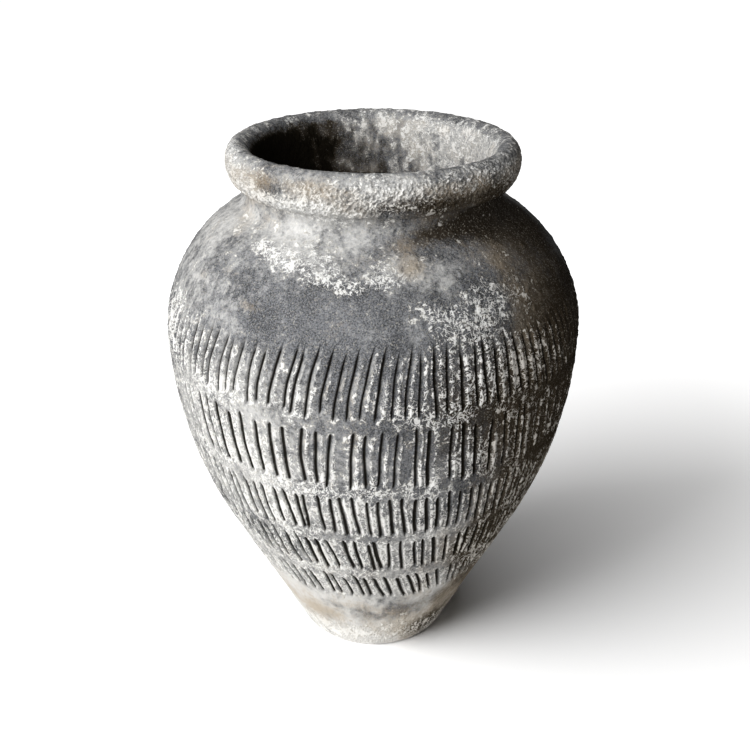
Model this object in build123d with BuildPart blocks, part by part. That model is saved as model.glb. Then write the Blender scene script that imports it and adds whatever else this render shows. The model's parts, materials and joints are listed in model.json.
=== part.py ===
"""Hand-built earthenware urn vase: eight clay stages, keyed and luted one on another.

Millimetres, +Z up, origin at the middle of the standing face.
"""
import os
from math import asin, cos, radians, sin, sqrt, tan

from build123d import *

# Heights of the clay stages, from the standing face up
FLOOR_THICKNESS = 10.0
FOOT_STAGE = 58.0
LOWER_STAGE = 78.5
MIDDLE_STAGE = 88.0
BELLY_STAGE = 49.0
SHOULDER_STAGE = 32.0
NECK_STAGE = 18.0
RIM_STAGE = 26.5

# Outer form
FOOT_RADIUS = 55.5
FOOT_EDGE_ROUND = 4.5
FOOT_FLARE_ANGLE = 24.6
BELLY_RADIUS = 135.0
WIDEST_ABOVE_MIDDLE = 4.5
NECK_RADIUS = 80.0
NECK_STRAIGHT = 11.0
NECK_COVE = 9.0

# Rolled rim
RIM_RADIUS = 91.0
RIM_CREST_INSET = 8.5
RIM_CREASE = 0.8
RIM_CROWN = 11.5
LIP_DEPTH = 15.0

# Clay wall and the joints between stages
WALL = 8.0
KEY_WIDTH = 3.6
KEY_RISE = 2.6
LUTE_GAP = 0.3

# Incised strokes, in five bands named for where they lie; a lean above zero tips their tops to the left
STROKE_STEEP_SIDE = 1.0
STROKE_SLOPING_SIDE = 2.8
STROKE_DEPTH = 2.2
STROKE_END_ANGLE = 50.0
STROKE_STAND_OFF = 1.5
BAND_MARGIN = 4.0
BAND_STRIP = 11.0
BELLY_BAND_LENGTH = 40.5
BELLY_BAND_STROKES = 110
BELLY_BAND_LEAN = -6.0
UPPER_BAND_LENGTH = 37.5
UPPER_BAND_STROKES = 90
UPPER_BAND_LEAN = 0.0
MIDDLE_BAND_LENGTH = 31.0
MIDDLE_BAND_STROKES = 112
MIDDLE_BAND_LEAN = 4.0
LOWER_BAND_LENGTH = 29.5
LOWER_BAND_STROKES = 100
LOWER_BAND_LEAN = 6.0
FOOT_BAND_LENGTH = 26.0
FOOT_BAND_STROKES = 88
FOOT_BAND_LEAN = 11.0

# Joint heights
FOOT_JOINT = FLOOR_THICKNESS
LOWER_JOINT = FOOT_JOINT + FOOT_STAGE
MIDDLE_JOINT = LOWER_JOINT + LOWER_STAGE
BELLY_JOINT = MIDDLE_JOINT + MIDDLE_STAGE
SHOULDER_JOINT = BELLY_JOINT + BELLY_STAGE
NECK_JOINT = SHOULDER_JOINT + SHOULDER_STAGE
RIM_JOINT = NECK_JOINT + NECK_STAGE
TOTAL_HEIGHT = RIM_JOINT + RIM_STAGE

# Top ends of the stroke bands
BELLY_BAND_TOP = SHOULDER_JOINT - BAND_MARGIN
UPPER_BAND_TOP = BELLY_JOINT - BAND_MARGIN
MIDDLE_BAND_TOP = UPPER_BAND_TOP - UPPER_BAND_LENGTH - BAND_STRIP
LOWER_BAND_TOP = MIDDLE_JOINT - BAND_MARGIN
FOOT_BAND_TOP = LOWER_BAND_TOP - LOWER_BAND_LENGTH - BAND_STRIP

# The belly curve: a straight cone from the foot runs into an arc that stands upright at the widest line
WIDEST_HEIGHT = BELLY_JOINT + WIDEST_ABOVE_MIDDLE
FLARE = tan(radians(FOOT_FLARE_ANGLE))
HALF_FLARE = tan(radians(FOOT_FLARE_ANGLE / 2))
SWELL = (WIDEST_HEIGHT * FLARE - BELLY_RADIUS + FOOT_RADIUS) / (FLARE - HALF_FLARE)
BELLY_ARC = SWELL / sin(radians(FOOT_FLARE_ANGLE))
CONE_HEIGHT = WIDEST_HEIGHT - SWELL

# The shoulder arc: upright at the widest line, down to the neck's radius
NECK_ROOT = RIM_JOINT - NECK_STRAIGHT
NECKING = BELLY_RADIUS - NECK_RADIUS
SHOULDER_ARC = (NECKING**2 + (NECK_ROOT - WIDEST_HEIGHT) ** 2) / (2 * NECKING)

# The hollow: the same curves, one wall further in
THROAT_RADIUS = NECK_RADIUS - WALL
HOLLOW_ARC = SHOULDER_ARC - WALL
THROAT_OFFSET = THROAT_RADIUS - BELLY_RADIUS + SHOULDER_ARC
THROAT_ROOT = WIDEST_HEIGHT + sqrt(HOLLOW_ARC**2 - THROAT_OFFSET**2)
RIM_WIDEST_HEIGHT = TOTAL_HEIGHT - RIM_CROWN
RIM_CREST_RADIUS = RIM_RADIUS - RIM_CREST_INSET
SECTION_REACH = BELLY_RADIUS + WALL


def wall_radius(height, inset=0.0):
    """Radius of the pot's outer face at a height, or of a line inset square into its wall."""
    if height > NECK_ROOT:
        return NECK_RADIUS - inset
    slope = radians(FOOT_FLARE_ANGLE)
    if height < CONE_HEIGHT + inset * sin(slope):
        return FOOT_RADIUS + height * FLARE - inset / cos(slope)
    arc = BELLY_ARC if height < WIDEST_HEIGHT else SHOULDER_ARC
    reach = (arc - inset) ** 2 - (height - WIDEST_HEIGHT) ** 2
    return max(NECK_RADIUS - inset, BELLY_RADIUS - arc + sqrt(max(0.0, reach)))


def joint_line(height, gap=0.0):
    """Half section of a keyed joint from the axis outwards: two flat lands and a ridge between them."""
    middle = (wall_radius(height) + wall_radius(height, WALL)) / 2
    half = KEY_WIDTH / 2 + gap
    return [
        (0, height),
        (middle - half, height),
        (middle, height + KEY_RISE + gap),
        (middle + half, height),
        (SECTION_REACH, height),
    ]


def stroke_tool(length):
    """Blade for one stroke: a V with its steep side on the left, hipped at both ends, on the outer face."""
    spread = (STROKE_DEPTH + STROKE_STAND_OFF) / STROKE_DEPTH
    left = STROKE_STEEP_SIDE * spread
    right = STROKE_SLOPING_SIDE * spread
    run = 1 / tan(radians(STROKE_END_ANGLE))
    top_half = length / 2 + STROKE_STAND_OFF * run
    ridge_half = length / 2 - STROKE_DEPTH * run
    with BuildPart() as blade:
        with BuildSketch(Plane.YZ):
            with BuildLine():
                Polyline(
                    (-right, STROKE_STAND_OFF),
                    (0, -STROKE_DEPTH),
                    (left, STROKE_STAND_OFF),
                    close=True,
                )
            make_face()
        extrude(amount=top_half, both=True)
        with BuildSketch(Plane.XZ):
            with BuildLine():
                Polyline(
                    (-top_half, STROKE_STAND_OFF),
                    (-ridge_half, -STROKE_DEPTH),
                    (ridge_half, -STROKE_DEPTH),
                    (top_half, STROKE_STAND_OFF),
                    close=True,
                )
            make_face()
        extrude(amount=left + right, both=True, mode=Mode.INTERSECT)
    return blade.part


def stroke_place(band_top, length, lean):
    """Place of a band's first stroke on the outer face: X up the wall, turned by the lean, Z square out."""
    height = band_top - length / 2
    arc = BELLY_ARC if height < WIDEST_HEIGHT else SHOULDER_ARC
    opening = radians(FOOT_FLARE_ANGLE) if height < CONE_HEIGHT else asin((WIDEST_HEIGHT - height) / arc)
    on_wall = Plane(
        origin=(wall_radius(height), 0, height),
        x_dir=(sin(opening), 0, cos(opening)),
        z_dir=(cos(opening), 0, -sin(opening)),
    )
    return on_wall.rotated((0, 0, lean))


# Half section of the whole pot
with BuildSketch(Plane.XZ) as pot_section:
    with BuildLine():
        standing_line = Line((0, 0), (FOOT_RADIUS, 0))
        cone_line = Line(standing_line @ 1, (wall_radius(CONE_HEIGHT), CONE_HEIGHT))
        belly_curve = TangentArc(cone_line @ 1, (BELLY_RADIUS, WIDEST_HEIGHT), tangent=cone_line % 1)
        shoulder_curve = TangentArc(belly_curve @ 1, (NECK_RADIUS, NECK_ROOT), tangent=belly_curve % 1)
        neck_line = Line(shoulder_curve @ 1, (NECK_RADIUS, RIM_JOINT))
        crease_line = Line(neck_line @ 1, (NECK_RADIUS + RIM_CREASE, RIM_JOINT))
        EllipticalCenterArc(
            (NECK_RADIUS + RIM_CREASE, RIM_WIDEST_HEIGHT),
            RIM_RADIUS - NECK_RADIUS - RIM_CREASE,
            RIM_WIDEST_HEIGHT - RIM_JOINT,
            start_angle=-90,
            arc_size=90,
        )
        EllipticalCenterArc(
            (RIM_CREST_RADIUS, RIM_WIDEST_HEIGHT),
            RIM_RADIUS - RIM_CREST_RADIUS,
            RIM_CROWN,
            start_angle=0,
            arc_size=90,
        )
        EllipticalCenterArc(
            (RIM_CREST_RADIUS, TOTAL_HEIGHT - LIP_DEPTH),
            RIM_CREST_RADIUS - THROAT_RADIUS,
            LIP_DEPTH,
            start_angle=90,
            arc_size=90,
        )
        throat_line = Line((THROAT_RADIUS, TOTAL_HEIGHT - LIP_DEPTH), (THROAT_RADIUS, THROAT_ROOT))
        hollow_widest = (BELLY_RADIUS - WALL, WIDEST_HEIGHT)
        TangentArc(hollow_widest, throat_line @ 1, tangent=(0, 1))
        cone_top = CONE_HEIGHT + WALL * sin(radians(FOOT_FLARE_ANGLE))
        hollow_curve = TangentArc(hollow_widest, (wall_radius(cone_top, WALL), cone_top), tangent=(0, -1))
        hollow_foot = Line(hollow_curve @ 1, (wall_radius(FLOOR_THICKNESS, WALL), FLOOR_THICKNESS))
        floor_line = Line(hollow_foot @ 1, (0, FLOOR_THICKNESS))
        Line(floor_line @ 1, (0, 0))
    make_face()
    fillet(pot_section.vertices().sort_by_distance(Vector(FOOT_RADIUS, 0, 0))[0], FOOT_EDGE_ROUND)
    fillet(pot_section.vertices().sort_by_distance(Vector(NECK_RADIUS, NECK_ROOT, 0))[0], NECK_COVE)


def stage_section(lower_line, upper_line):
    """Half section of one stage: the part of the pot's section between two joint lines."""
    with BuildSketch(Plane.XZ) as stage:
        add(pot_section.sketch_local)
        with BuildLine():
            Polyline(*lower_line, *reversed(upper_line), close=True)
        make_face(mode=Mode.INTERSECT)
    return stage.sketch


# Blades for the strokes of each band
belly_band_stroke = stroke_tool(BELLY_BAND_LENGTH)
upper_band_stroke = stroke_tool(UPPER_BAND_LENGTH)
middle_band_stroke = stroke_tool(MIDDLE_BAND_LENGTH)
lower_band_stroke = stroke_tool(LOWER_BAND_LENGTH)
foot_band_stroke = stroke_tool(FOOT_BAND_LENGTH)

# Slab that the pot stands on
with BuildPart() as base_disc:
    below = [(0, -WALL), (SECTION_REACH, -WALL)]
    add(stage_section(below, joint_line(FOOT_JOINT)))
    revolve(axis=Axis.Z)
base_disc.part.label = "base_disc"

# Plain cone above the slab
with BuildPart() as foot_wall:
    add(stage_section(joint_line(FOOT_JOINT, LUTE_GAP), joint_line(LOWER_JOINT)))
    revolve(axis=Axis.Z)
foot_wall.part.label = "foot_wall"

# Wall with the two lowest bands
with BuildPart() as lower_wall:
    add(stage_section(joint_line(LOWER_JOINT, LUTE_GAP), joint_line(MIDDLE_JOINT)))
    revolve(axis=Axis.Z)
    with PolarLocations(0, LOWER_BAND_STROKES):
        with Locations(stroke_place(LOWER_BAND_TOP, LOWER_BAND_LENGTH, LOWER_BAND_LEAN)):
            add(lower_band_stroke, mode=Mode.SUBTRACT)
    with PolarLocations(0, FOOT_BAND_STROKES):
        with Locations(stroke_place(FOOT_BAND_TOP, FOOT_BAND_LENGTH, FOOT_BAND_LEAN)):
            add(foot_band_stroke, mode=Mode.SUBTRACT)
lower_wall.part.label = "lower_wall"

# Wall with the third and second bands
with BuildPart() as middle_wall:
    add(stage_section(joint_line(MIDDLE_JOINT, LUTE_GAP), joint_line(BELLY_JOINT)))
    revolve(axis=Axis.Z)
    with PolarLocations(0, UPPER_BAND_STROKES):
        with Locations(stroke_place(UPPER_BAND_TOP, UPPER_BAND_LENGTH, UPPER_BAND_LEAN)):
            add(upper_band_stroke, mode=Mode.SUBTRACT)
    with PolarLocations(0, MIDDLE_BAND_STROKES):
        with Locations(stroke_place(MIDDLE_BAND_TOP, MIDDLE_BAND_LENGTH, MIDDLE_BAND_LEAN)):
            add(middle_band_stroke, mode=Mode.SUBTRACT)
middle_wall.part.label = "middle_wall"

# Wall with the top band, over the widest line
with BuildPart() as belly_wall:
    add(stage_section(joint_line(BELLY_JOINT, LUTE_GAP), joint_line(SHOULDER_JOINT)))
    revolve(axis=Axis.Z)
    with PolarLocations(0, BELLY_BAND_STROKES):
        with Locations(stroke_place(BELLY_BAND_TOP, BELLY_BAND_LENGTH, BELLY_BAND_LEAN)):
            add(belly_band_stroke, mode=Mode.SUBTRACT)
belly_wall.part.label = "belly_wall"

# Plain domed shoulder
with BuildPart() as shoulder_wall:
    add(stage_section(joint_line(SHOULDER_JOINT, LUTE_GAP), joint_line(NECK_JOINT)))
    revolve(axis=Axis.Z)
shoulder_wall.part.label = "shoulder_wall"

# Short neck with its cove
with BuildPart() as neck_collar:
    add(stage_section(joint_line(NECK_JOINT, LUTE_GAP), joint_line(RIM_JOINT)))
    revolve(axis=Axis.Z)
neck_collar.part.label = "neck_collar"

# Thick rolled coil round the mouth
with BuildPart() as rim_roll:
    above = [(0, TOTAL_HEIGHT + WALL), (SECTION_REACH, TOTAL_HEIGHT + WALL)]
    add(stage_section(joint_line(RIM_JOINT, LUTE_GAP), above))
    revolve(axis=Axis.Z)
rim_roll.part.label = "rim_roll"

os.makedirs("parts", exist_ok=True)
lower_stages = (base_disc, foot_wall, lower_wall, middle_wall)
upper_stages = (belly_wall, shoulder_wall, neck_collar, rim_roll)
for stage in lower_stages + upper_stages:
    export_step(stage.part, f"parts/{stage.part.label}.step")
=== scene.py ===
"""Aged earthenware urn vase: the weathered finish of its eight clay stages, laid out as an add-on.

Metres, +Z up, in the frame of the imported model. Angles run round the pot from its front, to the right.
"""
import json
import math
from collections import namedtuple

import bpy
import numpy as np
from bpy.props import FloatProperty, FloatVectorProperty, IntProperty, IntVectorProperty, PointerProperty
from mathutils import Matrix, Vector


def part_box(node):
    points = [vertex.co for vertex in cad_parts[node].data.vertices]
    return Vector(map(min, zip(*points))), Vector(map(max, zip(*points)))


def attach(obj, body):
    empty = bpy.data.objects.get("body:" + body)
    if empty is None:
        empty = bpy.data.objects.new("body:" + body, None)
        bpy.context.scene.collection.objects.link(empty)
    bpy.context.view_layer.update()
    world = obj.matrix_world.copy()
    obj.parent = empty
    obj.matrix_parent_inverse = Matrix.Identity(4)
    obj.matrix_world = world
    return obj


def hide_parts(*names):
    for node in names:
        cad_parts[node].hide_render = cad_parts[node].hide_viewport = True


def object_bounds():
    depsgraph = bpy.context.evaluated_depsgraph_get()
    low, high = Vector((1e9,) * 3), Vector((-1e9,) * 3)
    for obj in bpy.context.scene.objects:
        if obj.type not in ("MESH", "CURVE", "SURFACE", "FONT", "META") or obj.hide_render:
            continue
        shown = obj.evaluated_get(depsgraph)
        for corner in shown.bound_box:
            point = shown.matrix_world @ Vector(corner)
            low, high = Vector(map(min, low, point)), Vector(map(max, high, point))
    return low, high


bl_info = {
    "name": "Aged Urn Vase",
    "version": (1, 0, 0),
    "blender": (4, 5, 0),
    "location": "3D View > Sidebar > Urn",
    "description": "Clay stages of a hand-built urn vase with incised strokes and a lime crust",
    "category": "Object",
}

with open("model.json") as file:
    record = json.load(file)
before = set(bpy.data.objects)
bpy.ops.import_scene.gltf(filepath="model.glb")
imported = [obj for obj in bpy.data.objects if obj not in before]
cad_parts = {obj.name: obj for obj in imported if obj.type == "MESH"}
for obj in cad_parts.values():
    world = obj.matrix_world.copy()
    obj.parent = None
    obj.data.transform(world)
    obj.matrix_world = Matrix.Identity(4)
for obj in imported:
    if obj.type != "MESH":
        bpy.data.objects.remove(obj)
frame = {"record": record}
CAD_LOW, CAD_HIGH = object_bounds()

MM = 0.001
TURN = 2 * math.pi

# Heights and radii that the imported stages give
STAGES = (
    "base_disc",
    "foot_wall",
    "lower_wall",
    "middle_wall",
    "belly_wall",
    "shoulder_wall",
    "neck_collar",
    "rim_roll",
)
JOINT = {name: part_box(name)[0].z for name in STAGES}
TOP_OF = dict(zip(STAGES, [JOINT[name] for name in STAGES[1:]] + [CAD_HIGH.z]))
BELLY_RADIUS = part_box("belly_wall")[1].x
RIM_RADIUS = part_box("rim_roll")[1].x
MOUTH = next(mount for mount in frame["record"]["mounts"] if mount["name"] == "mouth")
THROAT_RADIUS = MOUTH["dims"]["r_mm"] * MM
BODY = "root"

# Mesh fineness
COLUMNS = 1200
EVEN_TURNS = np.arange(COLUMNS) * TURN / COLUMNS
ARC_STEPS = 160
PROBE = 0.2 * MM
SKIN_STEP = 1.4 * MM
FINE_STEP = 0.88 * MM
HOLLOW_STEP = 9 * MM
LEAST_TURN = 1e-7
LEAST_AREA = 1e-12
EDGE_SPARE = 0.5 * MM
HOLD_REACH = 2 * MM
HOLD_SLACK = 0.1 * MM
DISC_EDGE = 16 * MM
DISC_RINGS = ((240, 8 * MM), (48, 3 * MM))

# How much of the bake map a run of rows takes
MAP_SHARE = {"skin": 1.0, "hollow": 0.4, "joint": 0.15}
MAP_EDGE = 0.004
DISC_MAP_SIDES = (0.25, 0.75)
DISC_MAP_TOP = 0.995
DISC_MAP_SIZE = 0.02
DISC_REACH = DISC_EDGE * 2.2

# Wear is drawn out downwards: the share of height that a pattern keeps at the floor, and its gain per metre
DRAWN_SHARE = 0.35
DRAWN_GAIN = 1.2

# Angles in degrees at which the bands' leans are given; a lean above zero tips the tops to the left
LEAN_STATIONS = (-180, -60, -40, -20, 0, 20, 40, 60, 180)
BAND_LEANS = (
    (-4, -9, -10, -11, -10, -1, 5, 6, -4),
    (2, 8, 7, -1, -2, 2, 4, 4, 2),
    (3, 3, 3, 4, 5, 6, 4, 3, 3),
    (4, 2, 4, 6, 8, 8, 8, 5, 4),
    (6, 2, 5, 9, 13, 18, 12, 8, 6),
)
BANDS = len(BAND_LEANS)
BAND_SIZES = (
    "count", "length", "steep", "sloping", "bottom", "top_taper", "end_taper", "overrun", "bow",
    "dirty", "left_dirt", "clean", "dark", "limed",
)

# The hand's strays from stroke to stroke: in shares of the pitch, in mm, in degrees and as factors
PLACE_STRAY = 0.13
PLACE_STRAY_MOST = 0.3
TOP_STRAY = (-1.8, 2.2)
END_STRAY = (-2.8, 1.4)
LEAN_STRAY = 1.6
BOW_STRAY = 0.35
WIDTH_STRAY = (0.85, 1.25)
DEPTH_STRAY = (0.75, 1.05)
SWAY = 0.15 * MM
SWAY_LENGTH = 4 * MM
BAND_SEED_STEP = 11

# Marks across a stroke and the next ones, in runs of its walls, and their change by the sine of the angle
NEIGHBOURS = 2
END_WIDTH = 0.35
BURR_PLACE = 1.25
BURR_WIDTH = 0.3
BURR_CLEARANCE = 0.2
# The dark in a stroke is dirt and painted shade; its widening towards the pot's right, shaded side is painted
# shade.
DARK_START = 0.1
DARK_END = 0.40
RIGHT_SHADE = 0.32
RIGHT_SIDE = (-0.1, 0.5)
LEFT_SIDE = (0.25, 0.7)
# On the pot's lit left side the upper left walls are kept free of that dark.
PALE_WALL_SIDE = (0.05, 0.6)
PALE_WALL_EDGE = 0.2
LIME_EDGE = 0.25
LIME_END = (1.0, 1.2)
# Lime on the right walls, which face the lamp, is laid on more on the pot's lit left side: painted light.
LIT_SIDE = (-0.35, 0.15)

# Wear by height in mm: lime crust, pale wash and ochre stain, about 1 where it covers the clay
WEAR_BY_HEIGHT = (
    (0, 0.44, 1.12, 0.26), (10, 0.50, 1.15, 0.24), (24, 0.44, 1.15, 0.26), (40, 0.16, 1.0, 0.36),
    (55, 0.12, 0.70, 0.34), (70, 0.18, 0.78, 0.30), (80, 0.40, 0.7, 0.2), (92, 0.46, 0.56, 0.14),
    (108, 0.46, 0.72, 0.16), (128, 0.51, 0.54, 0.12), (147, 0.44, 0.48, 0.1), (166, 0.44, 0.44, 0.1),
    (188, 0.43, 0.26, 0.1), (200, 0.42, 0.24, 0.06), (214, 0.37, 0.16, 0.05), (236, 0.39, 0.18, 0.05),
    (262, 0.31, 0.12, 0.05), (285, 0.22, 0.04, 0.06), (300, 0.22, 0.12, 0.08), (308, 0.27, 0.36, 0.14),
    (318, 0.29, 0.5, 0.2), (328, 0.31, 0.58, 0.26), (334, 0.44, 0.6, 0.4), (340, 0.52, 0.74, 0.48),
    (352, 0.52, 0.72, 0.46), (357, 0.48, 0.58, 0.25), (360, 0.42, 0.46, 0.14),
)

# Soft patches on the outside: angle, height in mm, half width in degrees, half height in mm, amount
PATCHES = {
    "crust": (
        (-60, 320, 12, 2.6, 0.20), (-42, 315, 9, 2.6, 0.24), (-27, 311, 8, 2.8, 0.30),
        (-15, 306, 7, 3.2, 0.36), (-6, 303, 5, 3, 0.34), (4, 307, 6, 2.6, 0.30),
        (-40, 349, 6, 5, -0.34), (-18, 355, 9, 4, -0.12), (-40, 341, 24, 6, 0.20),
        # The negative patches on the rim right of the front, and the one at 68 degrees on the body, are
        # painted shade.
        (5, 341, 14, 7, -0.15), (24, 341, 14, 7, -0.17), (46, 341, 18, 8, -0.31),
        (68, 250, 18, 70, -0.24), (-32, 222, 14, 30, 0.10), (-5, 165, 18, 14, 0.05),
        (-8, 127, 22, 15, 0.06), (0, 92, 20, 12, 0.06), (16, 291, 6, 8, 0.24),
        (27, 288, 8, 10, 0.27), (36, 294, 8, 13, 0.20), (47, 294, 8, 14, 0.20),
        (27, 258, 12, 20, 0.15), (42, 258, 12, 22, 0.20), (40, 212, 12, 16, 0.10),
        (8, 244, 6, 5, 0.22), (1, 294, 3, 3, 0.20), (-68, 265, 9, 24, 0.40),
        (-35, 314, 14, 4, 0.03), (-15, 311, 12, 6, 0.16), (3, 311, 7, 4, 0.13),
        (-42, 244, 18, 7, 0.20), (-45, 214, 15, 18, 0.10), (-35, 189, 24, 6, 0.12),
        (14, 236, 13, 5, 0.24), (22, 203, 10, 9, 0.08), (-33, 160, 22, 20, 0.03),
        (-4, 262, 14, 22, -0.12), (-35, 290, 38, 12, -0.10), (8, 212, 17, 16, -0.15),
        (-16, 222, 9, 9, -0.14), (-5, 147, 20, 3, -0.12), (-22, 147, 10, 4, 0.07),
        (10, 31, 9, 5, 0.22), (-10, 20, 13, 9, 0.22), (-31, 52, 3, 3, 0.30),
        # The patches at -40 and -18 degrees on the foot are painted light.
        (16, 45, 4, 3, 0.28), (-40, 20, 20, 20, 0.2), (-18, 14, 18, 12, 0.15),
        (18, 147, 10, 5, 0.10), (40, 128, 14, 18, -0.10), (-45, 147, 16, 5, 0.10),
        (-35, 108, 22, 6, 0.10), (16, 316, 8, 4, 0.14),
    ),
    # The broad positive patches on the pot's left side are pale wash and painted light; the negative ones on
    # the neck and rim right of the front are painted shade.
    "wash": (
        (30, 318, 22, 20, -0.45), (14, 321, 6, 4, -0.35), (1, 316, 3, 3, -0.25),
        (-40, 349, 6, 5, -0.60), (44, 345, 24, 12, -0.45), (-68, 270, 36, 60, 0.14),
        (-50, 303, 20, 9, -0.25), (-55, 200, 30, 50, 0.4), (-27, 225, 17, 45, 0.44),
        (20, 308, 13, 9, 0.55), (-45, 55, 26, 20, 0.4), (-40, 324, 24, 10, 0.15),
        (4, 46, 17, 9, -0.50), (16, 54, 14, 16, -0.4), (-45, 341, 20, 8, 0.2),
        (-70, 295, 18, 25, 0.5), (-48, 290, 14, 20, 0.12), (-45, 312, 14, 6, -0.2),
        (-25, 314, 10, 6, 0.04), (-12, 311, 8, 7, 0.12), (3, 312, 6, 5, 0.15),
        (8, 341, 16, 7, -0.30), (30, 341, 18, 8, -0.25), (18, 147, 10, 6, 0.35),
        (3, 188, 9, 5, -0.20), (1, 147, 8, 5, -0.20), (-45, 147, 16, 6, -0.15),
        (14, 236, 13, 5, -0.15),
    ),
    # Every patch sits right of the front, on the pot's shaded side and under and on the rim: painted shade in
    # a brown stain's colour.
    "smoke": (
        (67, 265, 26, 60, 0.95), (63, 200, 24, 40, 0.85), (38, 238, 20, 50, 0.55),
        (20, 240, 14, 40, 0.45), (38, 130, 15, 40, 0.6), (23, 323, 11, 4, 0.62),
        (20, 341, 13, 7, 0.7), (1, 341, 10, 6, 0.35), (38, 18, 18, 18, 0.95),
        (20, 14, 10, 12, 0.18), (42, 55, 16, 20, 0.25), (46, 200, 14, 30, 0.3),
        (48, 140, 16, 40, 0.3), (44, 104, 16, 32, 0.5), (40, 128, 14, 20, 0.3),
        (22, 58, 10, 14, 0.35), (45, 326, 24, 9, 0.8), (47, 342, 20, 8, 0.7),
        (75, 320, 24, 14, 0.75), (62, 90, 26, 80, 0.5),
    ),
    "ochre": (
        (-45, 341, 22, 8, -0.2), (12, 313, 5, 9, 0.45), (-46, 301, 5, 3, 0.45),
        (-36, 290, 5, 4, 0.42), (-58, 294, 4, 4, 0.4), (-26, 45, 9, 9, 0.25),
        (-12, 62, 10, 6, 0.18), (18, 22, 8, 10, 0.2), (-30, 40, 35, 22, 0.18),
        (52, 280, 24, 50, 0.45), (55, 220, 24, 40, 0.45), (56, 120, 29, 80, 0.75),
        (45, 30, 22, 30, 0.45),
    ),
}

# How far the broad and the middle pattern shift each wear
SHIFTS = {"crust": (0.10, 0.10), "wash": (0.18, -0.1), "ochre": (-0.20, 0.12), "smoke": (0.0, 0.12)}

# Seeded patterns: size of the largest features, layers, gain of each next layer, shift
PATTERNS = {
    "broad": (60 * MM, 3, 0.5, 0.0),
    "middle": (17 * MM, 3, 0.6, 0.31),
    "fine": (5 * MM, 3, 0.6, 0.77),
    "blots": (15 * MM, 3, 0.55, 4.1),
    "worms": (2.9 * MM, 2, 0.65, 1.7),
    "lumps": (75 * MM, 2, 0.5, 2.9),
    "runs": (0.16, 3, 0.6, 0.0),
}

# What strokes, blots and the rim's thick crust add to the wear
WORM_CRUST = 0.18
WORM_SHARPNESS = 2.4
BURR_CRUST = 0.24
# Lime on the strokes' right walls, which face the lamp, with painted light.
SLOPE_CRUST = 0.6
SLOPE_WASH = 1.4
SLOPE_OCHRE = 0.9
SLOPE_LEAST = 0.25
SLOPE_GRAIN = 0.8
SLOPE_GRAIN_MOST = 1.4
DARK_CRUST_LOSS = 0.40
BLOT_WASH = 0.30
BLOTTED_TOP = (66 * MM, 82 * MM)
WORMS_START = (2 * MM, 5 * MM)
WORMS_END = (7 * MM, 2 * MM)

# The relief: how far it keeps below the solids' face, as shares of each height, and what shapes it
LUMP_INSET = 0.3
LUMP_SHARE = 0.5
CRUST_INSET = 0.9
CUT_CLEARANCE = 0.8
BURR_INSET = 0.5
BURR_SHARE = 0.6
BURR_SWAY = 0.4
FINE_CRUST = 0.35
LAID_CRUST = (0.34, 0.62)
STANDING_EDGE = 7 * MM

# The throat, its depths in mm below the crest: its pale side where the key lamp's light falls in, painted
# light that narrows with depth as the rim's painted shadow, its runs, and how wear fades and darkens in it as
# painted shade
THROAT_LIT_TURN = math.radians(126)
THROAT_LIT_START = 0.30
THROAT_LIT_LOSS = 0.010
THROAT_LIT_DEPTH = 60
LIMED_RUNS = 0.35
THROAT_LIT_FULL = 1.10
RUN_LENGTH = 110 * MM
LIP_DEPTHS = (2, 7)
CRUST_FADE = 0.0014
CRUST_DEPTH = 150
CRUST_GRAIN = 0.08
WASH_FADE = 0.003
WASH_DEPTH = 120
THROAT_SHADE = 0.95
THROAT_SHADE_DEPTH = 9
THROAT_SHADE_GRAIN = 4
SHADE_START = 0.45
SHADE_RUN = 0.5
SHADE_DEPTHS = (2, 10)
DEEP_SHADE = 0.6
DEEP_DEPTHS = (50, 110)
THROAT_LUMPS = 0.4
THROAT_INSET = 0.6

# The throat's wear: at the crest, and what the lip's turn, the lit side (painted light) and the runs add
THROAT_WEAR = {
    "crust": (0.40, -0.34, 0.52, 0.16),
    "wash": (0.40, -0.55, 0.95, 0.15),
    "ochre": (0.12, 0.24, 0.0, 0.1),
}

# The lime in the clay's shader: the score at which it starts, its cover, and shares of the bump
LIME_START = 0.49
LIME_COVER = 0.92
LIME_BUMP = 0.8
FINE_BUMP = 0.9
SPECKLE_BUMP = 0.35

# How far before and past the crest the outside's finish turns into the throat's
CREST_BLEND = (2 * MM, 4 * MM)

# The floor: its glow by the distance from the pot, painted light that leaves the cast shadow darkest by the
# pot and fades it further off, and the light that it returns near the pot's lit side
GLOW_START = 0.065
GLOW_RUN = 0.75
GLOW_CURVE = 0.7
GLOW = 0.93
HORIZON = (0.9, 1.6)
HORIZON_GLOW = 0.07
LIT_SPOT = (-0.16, -0.23, 0)
LIT_REACH = (0.22, 0.50)
RETURNED_NEAR = (0.70, 0.69, 0.67)
RETURNED_FAR = (0.035, 0.03, 0.025)
FLOOR_SIDES = 96
LAMPS = ("key", "front", "back", "floor_key")
WHITE = (1, 1, 1, 1)


def length_value(name, description, default):
    """A length in metres."""
    return FloatProperty(name=name, description=description, default=default, unit="LENGTH")


def angle_value(name, description, degrees):
    """An angle, given in degrees."""
    return FloatProperty(name=name, description=description, default=math.radians(degrees), subtype="ANGLE")


def colour_value(name, description, *shares):
    """A colour, as shares of red, green and blue."""
    return FloatVectorProperty(name=name, description=description, default=shares, subtype="COLOR")


def band_values(name, description, *values, unit="NONE"):
    """A value for each band of strokes."""
    return FloatVectorProperty(name=name, description=description, size=BANDS, default=values, unit=unit)


def band_lengths(name, description, *values):
    """A length in metres for each band of strokes."""
    return band_values(name, description, *values, unit="LENGTH")


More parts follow.
